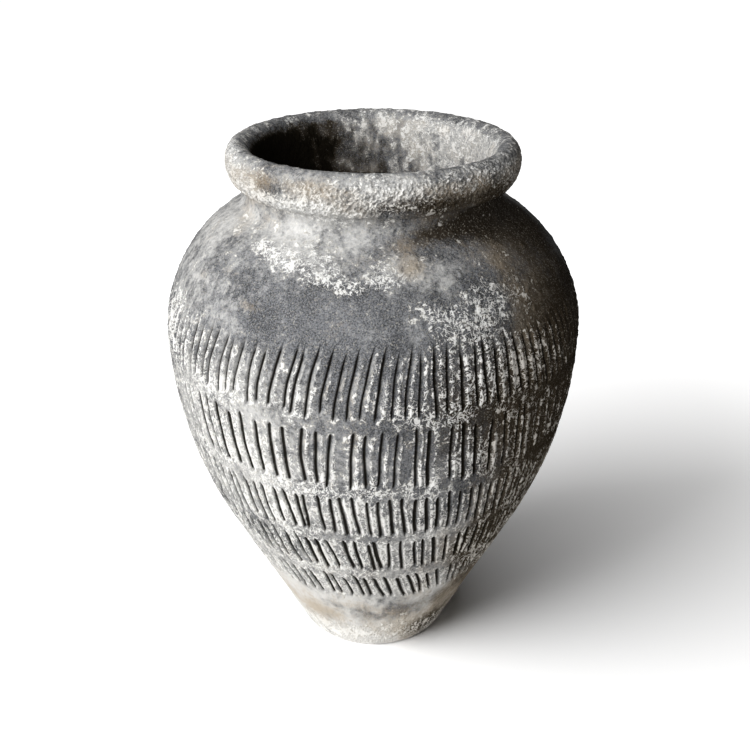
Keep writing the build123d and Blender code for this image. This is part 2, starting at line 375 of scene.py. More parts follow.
class UrnFormSizes(bpy.types.PropertyGroup):
    """Sizes of the pot's half section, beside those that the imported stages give"""

    wall: length_value("Wall", "Thickness of the clay wall", 0.008)
    foot_radius: length_value("Foot radius", "Radius of the standing face's edge", 0.0555)
    foot_round: length_value("Foot round", "Rounding of the foot's edge", 0.0045)
    flare: angle_value("Flare", "Slope of the cone above the foot", 24.6)
    widest_rise: length_value("Widest rise", "Widest line above the belly joint", 0.0045)
    neck_straight: length_value("Neck straight", "Upright part of the neck", 0.011)
    neck_cove: length_value("Neck cove", "Rounding between shoulder and neck", 0.009)
    crest_inset: length_value("Crest inset", "From the rim's edge in to its crest", 0.0085)
    crease: length_value("Crease", "Step under the rolled rim", 0.0008)
    crown: length_value("Crown", "Height of the rim's crest over its widest line", 0.0115)
    lip_depth: length_value("Lip depth", "Height over which the lip turns into the throat", 0.015)
    key_width: length_value("Key width", "Width of the ridge in a joint", 0.0036)
    key_rise: length_value("Key rise", "Height of the ridge in a joint", 0.0026)
    lute_gap: length_value("Lute gap", "Room for slip round the ridge", 0.0003)
    hand_lumps: length_value("Hand lumps", "Unevenness left by the hands", 0.0005)
    crust_height: length_value("Crust height", "Thickness of the lime crust", 0.00035)
    rim_crust: length_value("Rim crust", "Roughness of the thick crust on the rim", 0.0007)
    seed: IntProperty(name="Seed", description="Start of every seeded pattern", default=7)


class UrnStrokeSizes(bpy.types.PropertyGroup):
    """Sizes of the incised strokes, the bands listed from the belly down"""

    depth: length_value("Depth", "Depth of a stroke", 0.0023)
    burr: length_value("Burr", "Clay pushed up beside a stroke", 0.0003)
    margin: length_value("Margin", "From a joint down to the band below it", 0.004)
    strip: length_value("Strip", "Plain strip between two bands of one stage", 0.011)
    count: IntVectorProperty(
        name="Counts", description="Strokes in each band", size=BANDS, default=(110, 90, 112, 100, 88)
    )
    length: band_lengths("Lengths", "Height of each band", 0.0405, 0.0375, 0.031, 0.0295, 0.026)
    steep: band_lengths(
        "Steep sides", "Run of a stroke's left wall", 0.0009, 0.0011, 0.0011, 0.0011, 0.0011
    )
    sloping: band_lengths(
        "Sloping sides", "Run of a stroke's right wall", 0.0030, 0.0027, 0.0022, 0.0020, 0.0020
    )
    bottom: band_values("Bottoms", "Roundness of a stroke's bottom", 0.22, 0.45, 0.55, 0.65, 0.65)
    top_taper: band_lengths(
        "Top tapers", "Length over which a stroke's top runs out", 0.011, 0.0028, 0.002, 0.0018, 0.0018
    )
    end_taper: band_lengths(
        "End tapers", "Length over which a stroke's lower end runs out", 0.003, 0.0018, 0.0016, 0.0016, 0.0016
    )
    overrun: band_lengths(
        "Overruns", "How far the strokes run on below each band", 0.001, 0.0025, 0.0012, 0.0015, 0.001
    )
    bow: band_lengths(
        "Bows", "How far a stroke's ends bend to the right", 0.0012, 0.0006, 0.0002, 0.0002, 0.0
    )
    # The dark in the next four is dirt and painted shade.
    dirty: band_values(
        "Dirty shares", "Share of a stroke's right wall that is dark with dirt", 0.03, 0.09, 0.24, 0.34, 0.26
    )
    left_dirt: band_values(
        "Left dirt", "How much wider the dirt is on the pot's left side", 0.02, 0.18, 0.44, 0.30, 0.08
    )
    clean: band_values(
        "Clean walls", "How far down left walls are clean on the pot's left side", 0.53, 0.50, 0.0, 0.0, 0.25
    )
    dark: band_values("Dirt depths", "How dark the dirt is", 1.0, 1.0, 0.92, 0.93, 0.91)
    # Lime with painted light on a stroke's right wall, which faces the lamp.
    limed: band_values(
        "Limed slopes", "Lime that clings to a stroke's right wall", 0.20, 0.16, 0.06, 0.05, 0.05
    )


class UrnClayColours(bpy.types.PropertyGroup):
    """Colours of the clay and of what has settled on it"""

    clay_dark: colour_value("Clay, dark", "Fine dark grain", 0.051, 0.052, 0.055)
    clay_pale: colour_value("Clay, pale", "Fine pale grain", 0.250, 0.258, 0.275)
    # Laid as a pale wash, and as painted light on the pot's lit left side and the throat's lit side.
    wash: colour_value("Wash", "Thin pale wash", 0.725, 0.718, 0.700)
    ochre: colour_value("Ochre", "Earth stain", 0.42, 0.33, 0.22)
    # Laid where the crust is, which carries painted light on the throat's lit side and the left foot.
    crust_white: colour_value("Crust, white", "Fresh lime crust", 0.90, 0.897, 0.880)
    crust_cream: colour_value("Crust, cream", "Older lime crust", 0.60, 0.56, 0.48)
    # Painted shade in a brown stain's colour, on the pot's right, shaded side, at its rim and in the throat's
    # unlit side.
    smoke: colour_value("Smoke", "Brown firing cloud", 0.034, 0.025, 0.015)
    # Dirt and painted shade in the strokes, and painted shade in the throat.
    soot: colour_value("Soot", "Dirt in the strokes", 0.011, 0.009, 0.006)


class UrnStageSizes(bpy.types.PropertyGroup):
    """Camera, lamps and floor"""

    camera_side: length_value("Camera side", "Camera to the right of the axis", 0.0011)
    camera_distance: length_value("Camera distance", "Camera in front of the axis", 0.56334)
    camera_height: length_value("Camera height", "Camera above the floor", 0.49155)
    camera_dip: angle_value("Camera dip", "How far the camera looks down", 27.707)
    lens: FloatProperty(name="Lens", description="Focal length in mm on a 36 mm sensor", default=44.143)
    lamp_powers: FloatVectorProperty(
        name="Lamp powers", description="Watts of the lamps", size=len(LAMPS), default=(31.0, 9.0, 5.0, 66.0)
    )
    lamp_turns: FloatVectorProperty(
        name="Lamp turns",
        description="Lamps to the left of the front",
        size=len(LAMPS),
        default=[math.radians(turn) for turn in (51, 0, -160, 63.5)],
        unit="ROTATION",
    )
    lamp_rises: FloatVectorProperty(
        name="Lamp rises",
        description="Lamps above the pot's middle",
        size=len(LAMPS),
        default=[math.radians(rise) for rise in (32, 14, 18, 27)],
        unit="ROTATION",
    )
    lamp_size: length_value("Lamp size", "Width of every lamp", 1.3)
    lamp_distance: length_value("Lamp distance", "Lamps from the pot's middle", 1.6)
    fill: colour_value("Fill", "Soft light from all round", 0.018, 0.016, 0.014)
    floor_reach: length_value("Floor reach", "Radius of the floor", 12.0)


def ease(value, low, high):
    """0 below low, 1 above high, smooth between."""
    part = np.clip((value - low) / (high - low), 0, 1)
    return part * part * (3 - 2 * part)


class Noise:
    """Smooth gradient noise from about -1 to 1, the same on every run for the same seed."""

    CELLS = 256
    RANGE = 1.6
    LAYER_SHIFT = 17.3

    def __init__(self, seed):
        draw = np.random.default_rng(seed)
        self.order = draw.permutation(self.CELLS)
        slopes = draw.normal(size=(self.CELLS, 3))
        self.slopes = slopes / np.linalg.norm(slopes, axis=1, keepdims=True)

    def once(self, points):
        """One layer, with features about one unit apart."""
        cell = np.floor(points).astype(np.int64)
        part = points - cell
        fade = part**3 * (part * (part * 6 - 15) + 10)
        total = np.zeros(points.shape[:-1])
        for corner in np.ndindex(2, 2, 2):
            at = cell + corner
            mixed = self.order[at[..., 0] % self.CELLS]
            mixed = self.order[(mixed + at[..., 1]) % self.CELLS]
            mixed = self.order[(mixed + at[..., 2]) % self.CELLS]
            share = np.where(np.array(corner), fade, 1 - fade).prod(axis=-1)
            total += share * (self.slopes[mixed] * (part - corner)).sum(axis=-1)
        return total * self.RANGE

    def layered(self, points, size, layers=3, gain=0.5):
        """Layers of noise, the first with features of that size and each next one half as large."""
        total = np.zeros(points.shape[:-1])
        for layer in range(layers):
            total += gain**layer * self.once(points * (2**layer / size) + self.LAYER_SHIFT * layer)
        return total


class Line:
    """A line in the half section, as radius and height, read by the distance along it."""

    def __init__(self, *runs):
        self.points = np.concatenate(runs)
        steps = np.hypot(*np.diff(self.points, axis=0).T)
        self.along = np.concatenate([[0], np.cumsum(steps)])

    def at(self, along):
        """Points at these distances."""
        return np.stack([np.interp(along, self.along, axis) for axis in self.points.T], axis=-1)

    def facing(self, along):
        """Unit directions out of the clay at these distances, held past the line's ends."""
        along = np.clip(along, 0, self.along[-1])
        ahead = self.at(along + PROBE) - self.at(along - PROBE)
        out = np.stack([ahead[..., 1], -ahead[..., 0]], axis=-1)
        return out / np.linalg.norm(out, axis=-1, keepdims=True)

    def where(self, height):
        """Distance at which the line first passes a height."""
        over = self.points[:, 1] - height
        step = int(np.argmax(over[:-1] * over[1:] <= 0))
        share = over[step] / (over[step] - over[step + 1] or 1)
        return self.along[step] + share * (self.along[step + 1] - self.along[step])


def arc(centre, radii, start, end):
    """Points of an arc in the half section, its angles in degrees from the outward radius."""
    turn = np.radians(np.linspace(start, end, ARC_STEPS))
    return np.stack([centre[0] + radii[0] * np.cos(turn), centre[1] + radii[1] * np.sin(turn)], axis=-1)


class PotSection:
    """The pot's half section: its outside from the standing face to the crest, and its hollow back down."""

    def __init__(self, sizes):
        self.sizes = sizes
        wall = sizes.wall
        flare = sizes.flare
        neck = THROAT_RADIUS + wall
        crest = RIM_RADIUS - sizes.crest_inset
        rim_joint = JOINT["rim_roll"]
        widest = JOINT["belly_wall"] + sizes.widest_rise
        swell = widest * math.tan(flare) - BELLY_RADIUS + sizes.foot_radius
        swell /= math.tan(flare) - math.tan(flare / 2)
        belly_arc = swell / math.sin(flare)
        necking = BELLY_RADIUS - neck
        rise = rim_joint - sizes.neck_straight - widest
        shoulder_arc = (necking**2 + rise**2) / (2 * necking)
        belly_centre = (BELLY_RADIUS - belly_arc, widest)
        shoulder_centre = (BELLY_RADIUS - shoulder_arc, widest)
        slope = math.degrees(flare)

        foot = sizes.foot_round
        foot_middle = sizes.foot_radius - foot * math.tan(math.pi / 4 - flare / 2)
        cove = sizes.neck_cove
        cove_rise = math.sqrt((shoulder_arc + cove) ** 2 - (neck + cove - shoulder_centre[0]) ** 2)
        cove_turn = math.degrees(math.atan2(cove_rise, neck + cove - shoulder_centre[0]))
        rim_widest = CAD_HIGH.z - sizes.crown
        roll = (RIM_RADIUS - neck - sizes.crease, rim_widest - rim_joint)
        self.outside = Line(
            [(DISC_EDGE, 0)],
            arc((foot_middle, foot), (foot, foot), -90, -slope),
            arc(belly_centre, (belly_arc, belly_arc), -slope, 0),
            arc(shoulder_centre, (shoulder_arc, shoulder_arc), 0, cove_turn),
            arc((neck + cove, widest + cove_rise), (cove, cove), 180 + cove_turn, 180),
            [(neck, rim_joint)],
            arc((neck + sizes.crease, rim_widest), roll, -90, 0),
            arc((crest, rim_widest), (sizes.crest_inset, sizes.crown), 0, 90),
        )
        throat_reach = THROAT_RADIUS - shoulder_centre[0]
        throat_turn = math.degrees(math.acos(throat_reach / (shoulder_arc - wall)))
        floor_top = JOINT["foot_wall"]
        hollow_foot = sizes.foot_radius + floor_top * math.tan(flare) - wall / math.cos(flare)
        lip = (crest - THROAT_RADIUS, sizes.lip_depth)
        self.inside = Line(
            arc((crest, CAD_HIGH.z - sizes.lip_depth), lip, 90, 180),
            arc(shoulder_centre, (shoulder_arc - wall, shoulder_arc - wall), throat_turn, 0),
            arc(belly_centre, (belly_arc - wall, belly_arc - wall), 0, -slope),
            [(hollow_foot, floor_top), (DISC_EDGE, floor_top)],
        )
        self.rim = Line(self.outside.points, self.inside.points[1:])

    def ridge(self, height, gap=0.0):
        """The keyed joint at a height, from its outer land to its inner one."""
        outer = self.outside.at(self.outside.where(height))[0]
        inner = self.inside.at(self.inside.where(height))[0]
        middle = (outer + inner) / 2
        half = self.sizes.key_width / 2 + gap
        peak = (middle, height + self.sizes.key_rise + gap)
        return [(middle + half, height), peak, (middle - half, height)]


class StrokeBand:
    """One band of incised strokes drawn by hand, each with its own place, ends, lean, width and depth."""

    def __init__(self, sizes, number, top, seed):
        self.sizes = sizes
        self.top = top
        for key in BAND_SIZES:
            setattr(self, key, getattr(sizes, key)[number])
        draw = np.random.default_rng(seed + BAND_SEED_STEP * number)
        pitch = TURN / self.count
        stray = np.clip(draw.normal(0, PLACE_STRAY, self.count), -PLACE_STRAY_MOST, PLACE_STRAY_MOST)
        self.middle = (np.arange(self.count) + 0.5 + stray) * pitch
        self.high = top + draw.uniform(*TOP_STRAY, self.count) * MM
        self.low = top - self.length - self.overrun + draw.uniform(*END_STRAY, self.count) * MM
        front = (np.degrees(self.middle) + 180) % 360 - 180
        lean = np.interp(front, LEAN_STATIONS, BAND_LEANS[number]) + draw.normal(0, LEAN_STRAY, self.count)
        self.tip = -np.tan(np.radians(lean))
        self.bow = self.bow + draw.normal(0, BOW_STRAY, self.count) * MM
        self.wide = draw.uniform(*WIDTH_STRAY, self.count)
        self.deep = draw.uniform(*DEPTH_STRAY, self.count)
        self.sway = draw.uniform(0, TURN, self.count)

    def lines(self, height, radius):
        """Angle of every stroke's deepest line at a height."""
        middle = self.top - self.length / 2
        part = np.clip(height, self.low, self.high) - middle
        bend = self.bow * (part / (self.length / 2)) ** 2
        sway = SWAY * np.sin(part / SWAY_LENGTH + self.sway)
        return self.middle + (self.tip * part + bend + sway) / radius

    def strength(self, height):
        """How fully every stroke is cut at a height: 0 past its ends, 1 between them."""
        above = ease(height - self.low, 0, self.end_taper)
        return np.minimum(ease(self.high - height, 0, self.top_taper), above)

    def hold(self, height):
        """How closely the columns follow the strokes at a height."""
        past = max(height - self.top, self.top - self.length - self.overrun - height, 0.0)
        return 1 - ease(past, HOLD_REACH, min(self.sizes.margin, self.sizes.strip / 2) - HOLD_SLACK)

    def sides(self, height):
        """Runs of every stroke's left and right walls at a height."""
        wide = self.wide * (END_WIDTH + (1 - END_WIDTH) * self.strength(height))
        return self.steep * wide, self.sloping * wide

    def columns(self, height, radius):
        """Column angles of one row, gathered at the strokes' edges and bottoms."""
        hold = self.hold(height)
        if hold == 0:
            return EVEN_TURNS
        left, right = self.sides(height)
        spare = EDGE_SPARE * np.ones(self.count)
        before = (-left - spare, -left, -left / 2)
        after = (0 * left, right / 3, right * 2 / 3, right, right + spare)
        nearest = np.round((np.arange(self.count) + 0.5) * COLUMNS / self.count)
        column = (nearest[:, None] + np.arange(-len(before), len(after))).ravel()
        angle = (self.lines(height, radius)[:, None] + np.stack(before + after, axis=1) / radius).ravel()
        column = np.concatenate([column - COLUMNS, column, column + COLUMNS])
        angle = np.maximum.accumulate(np.concatenate([angle - TURN, angle, angle + TURN]))
        angle += LEAST_TURN * np.arange(len(angle))
        gathered = np.interp(np.arange(COLUMNS), column, angle)
        return EVEN_TURNS + hold * (gathered - EVEN_TURNS)

    def cut(self, height, radius, angle):
        """Marks along one row, from 0 to 1: depth, burr beside it, dirt and painted shade in it, and lime
        with painted light on its right wall.
        """
        line = self.lines(height, radius)
        strength = self.strength(height)
        left, right = self.sides(height)
        near = np.floor(angle / TURN * self.count).astype(int)
        depth, burr, dirt_and_shade, slope = np.zeros((4, len(angle)))
        full = self.bottom
        # The dark widens towards the pot's right, shaded side: painted shade.
        to_right = RIGHT_SHADE * ease(np.sin(angle), *RIGHT_SIDE)
        to_left = self.left_dirt * ease(-np.sin(angle), *LEFT_SIDE)
        dirty = self.dirty + to_right + to_left
        clean = self.clean * ease(-np.sin(angle), *PALE_WALL_SIDE)
        for other in range(-NEIGHBOURS, NEIGHBOURS + 1):
            stroke = (near + other) % self.count
            off = (angle - line[stroke] + math.pi) % TURN - math.pi
            run = np.where(off < 0, -off * radius / left[stroke], off * radius / right[stroke])
            hollow = (math.hypot(1, full) - np.hypot(run, full)) / (math.hypot(1, full) - full)
            hollow = np.clip(hollow, 0, 1) * strength[stroke]
            depth = np.maximum(depth, hollow * self.deep[stroke])
            burr = np.maximum(burr, np.exp(-(((run - BURR_PLACE) / BURR_WIDTH) ** 2)) * strength[stroke])
            # Dark on a stroke's right wall: dirt and painted shade.
            right_wall_dark = (1 - ease(run, dirty - DARK_START, dirty + DARK_END)) * strength[stroke]
            shaded = np.where(off < 0, ease(hollow, clean, clean + PALE_WALL_EDGE), right_wall_dark)
            dirt_and_shade = np.maximum(dirt_and_shade, self.dark * shaded)
            lit = ease(run, dirty, dirty + LIME_EDGE) * (1 - ease(run, *LIME_END)) * strength[stroke]
            slope = np.maximum(slope, np.where(off < 0, 0, lit))
        return depth, burr * (1 - ease(depth, 0, BURR_CLEARANCE)), dirt_and_shade, self.limed * slope * (1 - dirt_and_shade)


def drawn_out(points):
    """Points squeezed in height, so that the patterns read at them run down the wall."""
    height = points[..., 2:]
    return np.concatenate([points[..., :2], height * (DRAWN_SHARE + DRAWN_GAIN * height)], axis=-1)


def patch_sum(patches, angle, height):
    """Sum of soft patches at these angles and heights."""
    total = np.zeros_like(angle)
    for patch_angle, patch_height, half_angle, half_height, amount in patches:
        turn = (np.degrees(angle) - patch_angle + 180) % 360 - 180
        rise = height / MM - patch_height
        total += amount * np.exp(-((turn / half_angle) ** 2) - (rise / half_height) ** 2)
    return total


# A face before its finish: points and their angles, the rows' places along the section, and the stroke marks
Face = namedtuple("Face", "points angle along marks")


class Weathering:
    """Relief and wear of the pot's faces, the same on both sides of every joint."""

    def __init__(self, sizes, strokes):
        self.sizes = sizes
        self.strokes = strokes
        self.noise = Noise(sizes.seed)

    def pattern(self, name, points):
        """One of the seeded patterns at these points."""
        size, layers, gain, shift = PATTERNS[name]
        return self.noise.layered(points + shift, size, layers, gain)

    def outside(self, face):
        """Relief of the outside and its crust, wash, ochre, brown stain and soot, with painted light on the
        lit left side and painted shade on the right and in the strokes.
        """
        sizes = self.sizes
        strokes = self.strokes
        angle = face.angle
        height = face.points[..., 2]
        depth, burr, dirt_and_shade, slope = face.marks
        points = drawn_out(face.points)
        names = ("broad", "middle", "fine", "blots", "worms", "lumps")
        broad, middle, fine, blots, worms, lumps = (self.pattern(name, points) for name in names)
        station, *levels = np.array(WEAR_BY_HEIGHT).T
        wear = {"smoke": 0.0}
        for key, level in zip(("crust", "wash", "ochre"), levels):
            wear[key] = np.interp(height / MM, station, level)
        for key, (broadly, closely) in SHIFTS.items():
            patched = wear[key] + patch_sum(PATCHES[key], angle, height)
            wear[key] = patched + broadly * broad + closely * middle

        rim_joint = JOINT["rim_roll"]
        rim = ease(height, rim_joint + WORMS_START[0], rim_joint + WORMS_START[1])
        rim *= 1 - ease(height, CAD_HIGH.z - WORMS_END[0], CAD_HIGH.z - WORMS_END[1])
        worms = 1 - np.abs(worms) * WORM_SHARPNESS
        # The right walls' lime is laid on more on the pot's lit left side: painted light.
        limed = SLOPE_LEAST + (1 - SLOPE_LEAST) * ease(-np.sin(angle), *LIT_SIDE)
        slope = slope * limed * np.clip(SLOPE_GRAIN + fine, 0, SLOPE_GRAIN_MOST)
        crust = wear["crust"] + rim * WORM_CRUST * worms + BURR_CRUST * burr + SLOPE_CRUST * slope
        crust = crust - DARK_CRUST_LOSS * dirt_and_shade
        wash = wear["wash"] + BLOT_WASH * (1 - ease(height, *BLOTTED_TOP)) * blots + SLOPE_WASH * slope
        ochre = wear["ochre"] + SLOPE_OCHRE * slope
        wear.update({"crust": crust, "wash": wash, "ochre": ochre, "soot": dirt_and_shade})

        laid = ease(crust + FINE_CRUST * fine, *LAID_CRUST)
        relief = sizes.hand_lumps * (lumps * LUMP_SHARE - LUMP_INSET)
        relief += sizes.crust_height * (laid + FINE_CRUST * fine - CRUST_INSET) * (1 - CUT_CLEARANCE * depth)
        relief += rim * sizes.rim_crust * (np.clip(worms, -1, 1) - 1)
        raised = burr * (BURR_SHARE + BURR_SWAY * middle) - BURR_INSET
        relief += strokes.burr * raised - strokes.depth * depth
        return np.minimum(relief, 0) * ease(height, 0.0, STANDING_EDGE), wear

    def inside(self, face):
        """Relief and wear of the throat and the hollow: runs of wash, painted light where the key lamp's
        light falls in, and painted shade on the other side and deeper down.
        """
        sizes = self.sizes
        angle = face.angle
        height = face.points[..., 2]
        runs = self.pattern("runs", np.stack([np.sin(angle), np.cos(angle), height / RUN_LENGTH], axis=-1))
        fine = self.pattern("fine", face.points)
        depth = (CAD_HIGH.z - height) / MM
        lip = ease(depth, *LIP_DEPTHS)
        # The pale side lies across the throat from the key lamp and narrows with depth as the rim's shadow:
        # painted light and shadow; the other side and the depths darken as painted shade.
        spread = np.cos(angle - THROAT_LIT_TURN) + THROAT_LIT_START - THROAT_LIT_LOSS * np.clip(depth, 0, THROAT_LIT_DEPTH)
        spread += LIMED_RUNS * runs
        limed = ease(spread, 0, THROAT_LIT_FULL)
        shaded_side = ease(SHADE_START - spread, 0, SHADE_RUN) * ease(depth, *SHADE_DEPTHS)
        wear = {
            "smoke": THROAT_SHADE * (1 - limed) * ease(depth + THROAT_SHADE_GRAIN * fine, 0, THROAT_SHADE_DEPTH),
            "soot": np.maximum(shaded_side, DEEP_SHADE * ease(depth, *DEEP_DEPTHS)),
        }
        for key, (crest, turned, gain, streak) in THROAT_WEAR.items():
            wear[key] = crest + lip * (gain * limed + turned) + streak * runs
        wear["crust"] += CRUST_GRAIN * fine - lip * CRUST_FADE * np.clip(depth, 0, CRUST_DEPTH)
        wear["wash"] -= WASH_FADE * np.clip(depth, 0, WASH_DEPTH)
        relief = sizes.hand_lumps * (THROAT_LUMPS * runs - THROAT_INSET) + sizes.crust_height * (fine - 1)
        return relief, wear


PAINTS = ("crust", "wash", "ochre", "smoke", "soot")


def on_pot(line, facing, relief, angle):
    """Places in space of half-section points pushed out by the relief and turned round the axis."""
    radius = line[:, 0, None] + facing[:, 0, None] * relief
    height = line[:, 1, None] + facing[:, 1, None] * relief
    return np.stack([radius * np.sin(angle), -radius * np.cos(angle), height], axis=-1)


class Rows:
    """A run of rings of points, with their normals where they are smooth and their wear."""

    def __init__(self, kind, places, normals=None, paint=None):
        self.kind = kind
        self.places = places
        self.normals = normals
        self.paint = paint or {name: np.zeros(places.shape[:2]) for name in PAINTS}


def skin_rows(kind, line, start, end, step, finish, bands=()):
    """Rows of a visible face along part of a half-section line. A row past each end steadies the normals."""
    count = math.ceil(abs(end - start) / step) + 1
    along = np.linspace(start, end, count)
    step = (end - start) / (count - 1)
    along = np.concatenate([[start - step], along, [end + step]])
    section = line.at(along)
    facing = line.facing(along)
    angle = np.tile(EVEN_TURNS, (len(along), 1))
    marks = np.zeros((4, *angle.shape))
    for row, (radius, height) in enumerate(section):
        for band in bands:
            if band.hold(height) > 0:
                angle[row] = band.columns(height, radius)
                marks[:, row] = band.cut(height, radius, angle[row])
    bare = on_pot(section, facing, np.zeros_like(angle), angle)
    relief, paint = finish(Face(bare, angle, along, marks))
    places = on_pot(section, facing, relief, angle)
    across = np.roll(places, -1, axis=1) - np.roll(places, 1, axis=1)
    up = places[2:] - places[:-2]
    normals = np.cross(across[1:-1], up)
    normals /= np.linalg.norm(normals, axis=-1, keepdims=True)
    return Rows(kind, places[1:-1], normals, {name: paint[name][1:-1] for name in PAINTS})


def joint_rows(section, height, gap, outward):
    """Rows of a keyed joint's hidden face, from its outer land in, or from its inner land out."""
    ridge = section.ridge(height, gap)
    points = np.array(ridge[::-1] if outward else ridge)
    angle = np.tile(EVEN_TURNS, (len(points), 1))
    return Rows("joint", on_pot(points, points, np.zeros_like(angle), angle))


class Mesher:
    """Joins runs of rows into one closed mesh with wear, normals and a map for baking."""

    def __init__(self, runs, closed):
        self.places = np.concatenate([run.places for run in runs])
        self.paint = {name: np.concatenate([run.paint[name] for run in runs]) for name in PAINTS}
        kinds = [run.kind for run in runs for _ in run.places]
        owners = [number for number, run in enumerate(runs) for _ in run.places]
        smooth = [run.normals if run.normals is not None else np.zeros_like(run.places) for run in runs]
        self.normals = np.concatenate(smooth)
        count = len(self.places)
        self.strips = [(row, (row + 1) % count) for row in range(count if closed else count - 1)]
        self.within = [owners[a] == owners[b] and kinds[a] != "joint" for a, b in self.strips]
        self.kinds = [kinds[a] if owners[a] == owners[b] else "joint" for a, b in self.strips]

    def quads(self):
        """Vertex numbers of every face, strip by strip."""
        here = np.arange(COLUMNS)
        there = (here + 1) % COLUMNS
        lower = np.array([a for a, _ in self.strips])[:, None] * COLUMNS
        upper = np.array([b for _, b in self.strips])[:, None] * COLUMNS
        return np.stack([lower + here, lower + there, upper + there, upper + here], axis=-1)

    def corner_normals(self, quads):
        """A normal for every corner: the skin's own, or the face's in a joint."""
        flat = self.places.reshape(-1, 3)
        corners = self.normals.reshape(-1, 3)[quads]
        across = flat[quads[..., 2]] - flat[quads[..., 0]]
        along = flat[quads[..., 3]] - flat[quads[..., 1]]
        plain = np.cross(across, along)
        plain /= np.maximum(np.linalg.norm(plain, axis=-1, keepdims=True), LEAST_AREA)
        return np.where(np.array(self.within)[:, None, None, None], corners, plain[:, :, None, :])

    def map_corners(self):
        """Places in the bake map: the ring is cut into equal blocks, stacked one over another."""
        middle = self.places[:, 0]
        strips = zip(self.strips, self.kinds)
        gaps = [np.linalg.norm(middle[b] - middle[a]) * MAP_SHARE[kind] for (a, b), kind in strips]
        edges = np.concatenate([[0], np.cumsum(gaps)])
        girth = TURN * np.hypot(middle[:, 0], middle[:, 1]).max()
        blocks = max(1, round(math.sqrt(girth / edges[-1])))
        while COLUMNS % blocks:
            blocks += 1
        share = COLUMNS // blocks
        here = np.arange(COLUMNS)
        block = (here // share)[None, :]
        span = 1 - 2 * MAP_EDGE
        left = MAP_EDGE + span * (here % share) / share
        right = left + span / share
        rise = span * edges / edges[-1]
        low = (block + MAP_EDGE + rise[:-1, None]) / blocks
        high = (block + MAP_EDGE + rise[1:, None]) / blocks
        left = np.broadcast_to(left, low.shape)
        right = np.broadcast_to(right, low.shape)
        corners = ((left, low), (right, low), (right, high), (left, high))
        return np.stack([np.stack(corner, axis=-1) for corner in corners], axis=2)


def disc_faces(first_ring, rings, start, outward):
    """Faces that close a ring to the axis, through rings of fewer points down to one middle point."""
    faces = []
    ring = list(first_ring)
    for count in rings:
        inner = list(range(start, start + count))
        start += count
        share = len(ring) // count
        for number in range(count):
            part = [ring[(number * share + step) % len(ring)] for step in range(share + 1)]
            faces.append(part + [inner[(number + 1) % count], inner[number]])
        ring = inner
    for number, point in enumerate(ring):
        faces.append([point, ring[(number + 1) % len(ring)], start])
    if outward:
        return faces
    return [face[::-1] for face in faces]


def disc_points(height):
    """Points of the rings inside a disc and its middle, at a height."""
    places = []
    for count, radius in DISC_RINGS:
        for number in range(count):
            angle = number * TURN / count
            places.append((radius * math.sin(angle), -radius * math.cos(angle), height))
    return places + [(0, 0, height)]


def clay_piece(context, name, runs, closed=True):
    """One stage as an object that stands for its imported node."""
    mesher = Mesher(runs, closed)
    quads = mesher.quads()
    vertices = mesher.places.reshape(-1, 3)
    faces = quads.reshape(-1, 4).tolist()
    normals = mesher.corner_normals(quads).reshape(-1, 3)
    corners = mesher.map_corners().reshape(-1, 2)
    paint = {key: value.ravel() for key, value in mesher.paint.items()}
    if not closed:
        vertices, faces, normals, corners, paint = close_discs(vertices, faces, normals, corners, paint)
    mesh = bpy.data.meshes.new(name)
    mesh.from_pydata(vertices.tolist(), [], faces)
    for key, values in paint.items():
        layer = mesh.attributes.new(key, "FLOAT", "POINT")
        layer.data.foreach_set("value", np.asarray(values, np.float32))
    bake_map = mesh.uv_layers.new(name="OFBake")
    bake_map.data.foreach_set("uv", np.asarray(corners, np.float32).ravel())
    mesh.shade_smooth()
    mesh.normals_split_custom_set(normals.tolist())
    mesh.materials.append(clay_material(context.scene.urn_clay))
    piece = bpy.data.objects.new(f"{name}_clay", mesh)
    context.scene.collection.objects.link(piece)
    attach(piece, BODY)
    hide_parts(name)
    return piece


def close_discs(vertices, faces, normals, corners, paint):
    """Closes the first and the last ring of an open run with discs."""
    counts = [count for count, _ in DISC_RINGS]
    last = len(vertices) - COLUMNS
    below = disc_points(vertices[0][2])
    above = disc_points(vertices[last][2])
    under = disc_faces(range(COLUMNS), counts, len(vertices), False)
    over = disc_faces(range(last, last + COLUMNS), counts, len(vertices) + len(below), True)
    vertices = np.concatenate([vertices, below, above])
    for key, values in paint.items():
        ends = [np.full(len(below), values[0]), np.full(len(above), values[last])]
        paint[key] = np.concatenate([values, *ends])
    for disc, side, facing in zip((under, over), DISC_MAP_SIDES, (-1.0, 1.0)):
        spots = vertices[np.concatenate(disc)][:, :2] / DISC_REACH * DISC_MAP_SIZE
        normals = np.concatenate([normals, np.tile([0, 0, facing], (len(spots), 1))])
        corners = np.concatenate([corners, spots + (side, DISC_MAP_TOP)])
    return vertices, faces + under + over, normals, corners, paint


